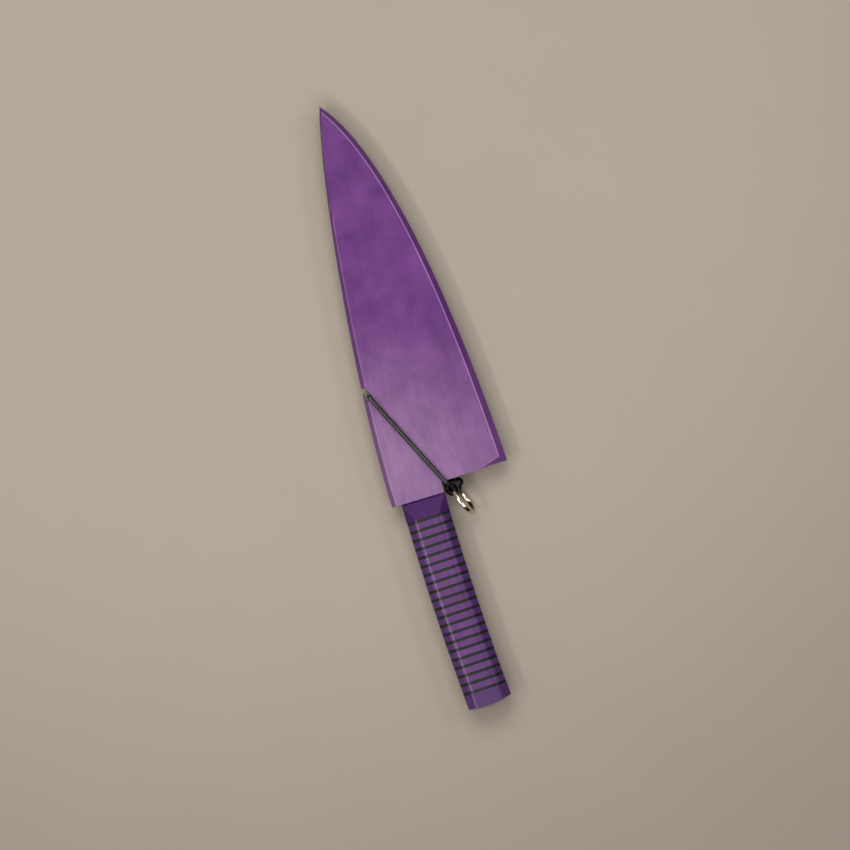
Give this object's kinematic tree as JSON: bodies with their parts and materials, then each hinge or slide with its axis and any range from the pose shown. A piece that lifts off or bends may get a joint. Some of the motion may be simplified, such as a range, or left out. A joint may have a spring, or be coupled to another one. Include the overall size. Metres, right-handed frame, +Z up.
{
  "type": "knife blade guard",
  "caption": "Purple wooden blade guard on its chef's knife with a ringed eight-sided handle, held shut by a round elastic loop with a pull ring.",
  "frame": {"origin": "under the middle of the object's box, on the surface that the handle lies on", "axes": "+Y from the butt to the tip, +X towards the cutting edge, +Z up out of the guard's top face"},
  "size_m": [0.0696, 0.3492, 0.02],
  "materials": {
    "guard_wood": "purple-dyed hardwood, lengthwise grain, satin oil",
    "core_wood": "darker purple-dyed strip, satin",
    "blade_steel": "satin ground stainless steel",
    "handle_wood": "purple stabilised wood, polished satin",
    "spacer_black": "black fibre, satin",
    "tang_steel": "turned steel",
    "elastic_rubber": "smooth black rubber, semi-gloss",
    "ring_metal": "polished nickel-plated steel"
  },
  "bodies": {
    "guard": {"face_board_top": "guard_wood", "face_board_bottom": "guard_wood", "core_rim": "core_wood"},
    "knife": {"blade": "blade_steel", "front_collar": "handle_wood", "spacer_01": "spacer_black", "spacer_02": "spacer_black", "spacer_03": "spacer_black", "spacer_04": "spacer_black", "spacer_05": "spacer_black", "spacer_06": "spacer_black", "spacer_07": "spacer_black", "spacer_08": "spacer_black", "spacer_09": "spacer_black", "spacer_10": "spacer_black", "spacer_11": "spacer_black", "spacer_12": "spacer_black", "spacer_13": "spacer_black", "spacer_14": "spacer_black", "spacer_15": "spacer_black", "spacer_16": "spacer_black", "spacer_17": "spacer_black", "spacer_18": "spacer_black", "spacer_19": "spacer_black", "spacer_20": "spacer_black", "spacer_21": "spacer_black", "grip_ring_01": "handle_wood", "grip_ring_02": "handle_wood", "grip_ring_03": "handle_wood", "grip_ring_04": "handle_wood", "grip_ring_05": "handle_wood", "grip_ring_06": "handle_wood", "grip_ring_07": "handle_wood", "grip_ring_08": "handle_wood", "grip_ring_09": "handle_wood", "grip_ring_10": "handle_wood", "grip_ring_11": "handle_wood", "grip_ring_12": "handle_wood", "grip_ring_13": "handle_wood", "grip_ring_14": "handle_wood", "grip_ring_15": "handle_wood", "grip_ring_16": "handle_wood", "grip_ring_17": "handle_wood", "grip_ring_18": "handle_wood", "grip_ring_19": "handle_wood", "grip_ring_20": "handle_wood", "end_cap": "handle_wood", "tang_washer": "tang_steel", "tang_nut": "tang_steel", "elastic_loop": "elastic_rubber"},
    "pull": {"elastic_knot": "elastic_rubber"},
    "ring": {"pull_ring": "ring_metal"}
  },
  "joints": [
    {"name": "knife_draw", "type": "slide", "parent": "guard", "child": "knife", "axis": [0, -1, 0], "range_m": [0, 0.23], "deforming": ["elastic_loop"]},
    {"name": "elastic_pull", "type": "slide", "parent": "knife", "child": "pull", "axis": [0.4035, -0.915, 0], "range_m": [0, 0.01], "stiffness_N_per_m": 300, "deforming": ["elastic_loop"]},
    {"name": "ring_swing", "type": "hinge", "parent": "pull", "child": "ring", "pos_m": [0.0013, -0.0518, 0.01005], "axis": [-0.1937, -0.0755, 0.9781], "range_deg": [-25, 60]}
  ]
}
